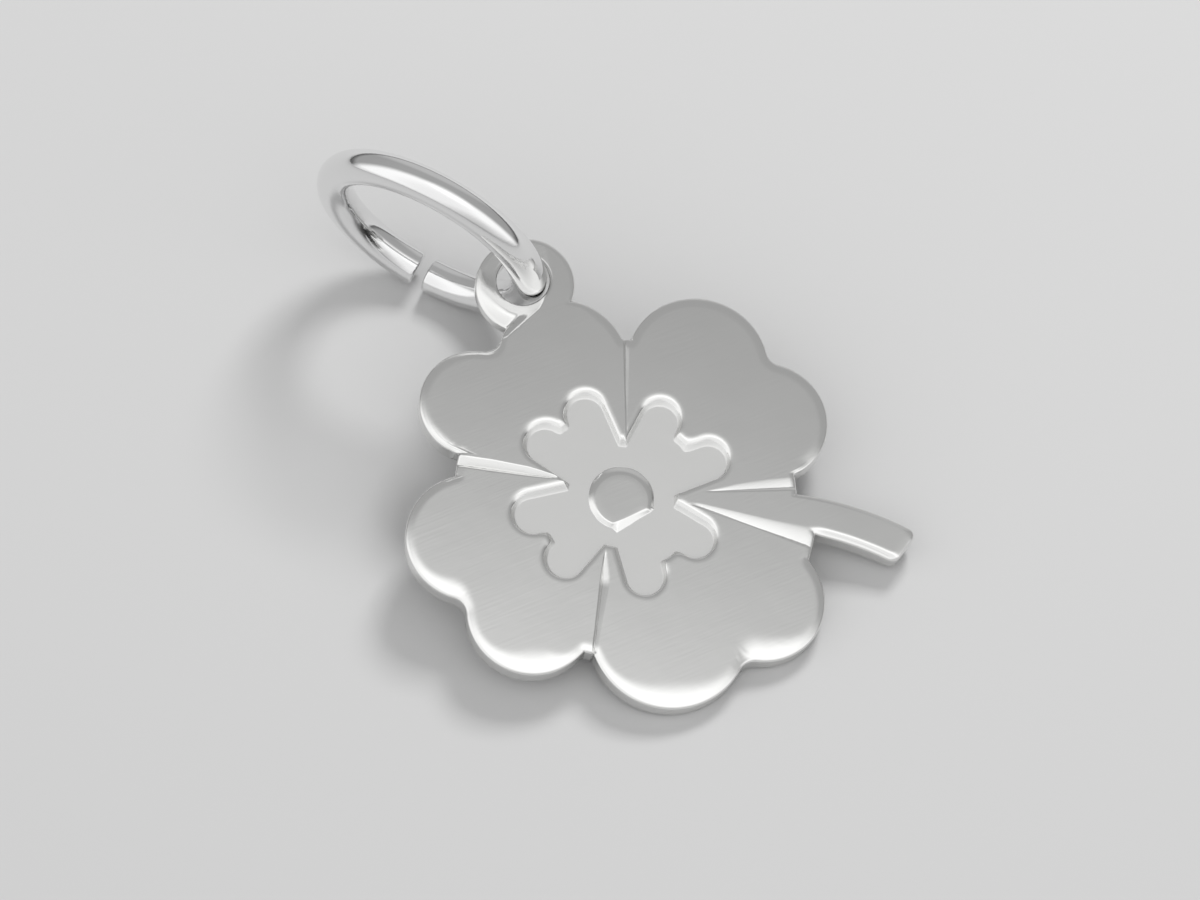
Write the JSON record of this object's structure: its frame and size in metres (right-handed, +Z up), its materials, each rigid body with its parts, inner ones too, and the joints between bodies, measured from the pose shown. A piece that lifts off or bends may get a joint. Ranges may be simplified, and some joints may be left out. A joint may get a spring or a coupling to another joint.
{
  "type": "four leaf clover pendant",
  "caption": "Flat polished charm shaped as a four leaf clover, with a sunk flower in its middle, a stem, and an eyelet that carries a split jump ring for a chain.",
  "frame": {"origin": "on the surface that the pendant lies on, below the middle of its bounding box", "axes": "+Z up from the surface, +Y from the lowest leaf towards the eyelet and the jump ring, +X towards the side of the stem"},
  "size_m": [0.0138, 0.0188, 0.0074],
  "materials": {
    "stamped_silver": "polished silver with fine wiping marks",
    "ring_silver": "mirror polished silver wire"
  },
  "bodies": {
    "root": {"clover": "stamped_silver", "jump_ring": "ring_silver"}
  },
  "joints": []
}
